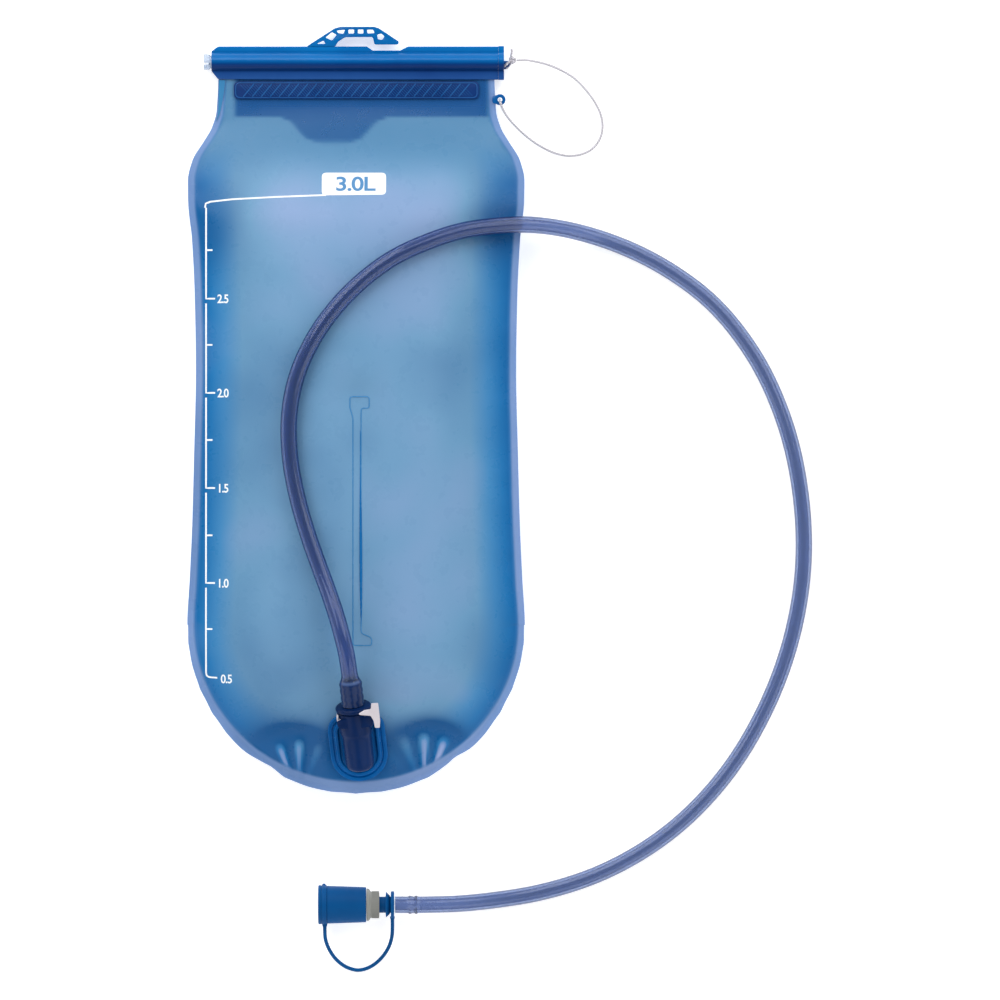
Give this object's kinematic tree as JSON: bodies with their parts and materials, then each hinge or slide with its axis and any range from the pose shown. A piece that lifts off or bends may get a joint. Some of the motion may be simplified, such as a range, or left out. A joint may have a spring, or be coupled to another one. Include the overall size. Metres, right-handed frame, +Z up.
{
  "type": "hydration bladder",
  "caption": "Puffed film water reservoir with a slide closure, hanger hook, quick-release port, drinking hose and covered bite valve, lying on its back.",
  "frame": {"origin": "on the surface that it lies on, under the middle of the bladder, closure and port together, without the hose, valve and tether", "axes": "+Y along the bladder towards the closure, +X to the side where the hose runs, +Z up from the surface"},
  "size_m": [0.3545, 0.5371, 0.0647],
  "materials": {
    "film": "translucent blue polyurethane film, satin",
    "clear_rail": "clear extruded plastic",
    "grip": "dark blue welded strip with a raised hatch",
    "flap": "dark blue film, folded",
    "closure": "glossy moulded plastic, deep blue",
    "tether": "pale grey coated cord",
    "port": "glossy translucent blue moulding",
    "socket": "dark navy moulding",
    "latch": "off-white acetal",
    "spring": "stainless spring wire",
    "seal": "black seal rubber",
    "hose": "clear tinted tube",
    "valve_blue": "satin blue elastomer",
    "valve_grey": "grey moulded plastic with fine ribs",
    "mouthpiece": "pale translucent silicone"
  },
  "bodies": {
    "bag": {"front_panel": "film", "rear_panel": "film", "centre_baffle": "film", "fold_rail": "clear_rail", "front_grip_strip": "grip", "rear_fold_flap": "flap", "eyelet_lug": "closure", "port_base": "port", "port_socket": "socket", "latch_spring": "spring", "poppet_spring": "spring"},
    "slider": {"slider_channel": "closure", "hanger_hook": "closure", "tether_cord": "tether", "tether_knot": "tether"},
    "latch": {"latch_plate": "latch"},
    "poppet": {"poppet": "socket", "poppet_seal": "seal"},
    "drink_line": {"hose_plug": "socket", "plug_o_ring_inner": "seal", "plug_o_ring_outer": "seal", "drinking_hose": "hose", "valve_shank": "valve_blue", "strap_ring": "valve_blue", "cover_strap": "valve_blue"},
    "valve_head": {"valve_body": "valve_grey", "valve_o_ring": "seal", "mouthpiece": "mouthpiece"},
    "cover": {"valve_cover": "valve_blue", "cover_band": "valve_blue"}
  },
  "joints": [
    {"name": "closure_slide", "type": "slide", "parent": "bag", "child": "slider", "axis": [1, 0, 0], "range_m": [0, 0.15]},
    {"name": "latch_press", "type": "slide", "parent": "bag", "child": "latch", "axis": [-0.9936, -0.1132, 0], "range_m": [0, 0.0015], "stiffness_N_per_m": 1500, "springref_m": -0.002},
    {"name": "hose_release", "type": "slide", "parent": "bag", "child": "drink_line", "axis": [-0.1064, 0.9337, 0.342], "range_m": [0, 0.024]},
    {"name": "poppet_travel", "type": "slide", "parent": "bag", "child": "poppet", "axis": [-0.1064, 0.9337, 0.342], "range_m": [0, 0.0038]},
    {"name": "shutoff_twist", "type": "hinge", "parent": "drink_line", "child": "valve_head", "pos_m": [0.01, -0.281, 0.0113], "axis": [1, 0, 0], "range_deg": [0, 90]},
    {"name": "cover_pull", "type": "slide", "parent": "drink_line", "child": "cover", "axis": [-1, 0, 0], "range_m": [0, 0.028]}
  ],
  "couplings": [
    {"joint": "poppet_travel", "follows": "hose_release", "ratio": 0.158}
  ]
}
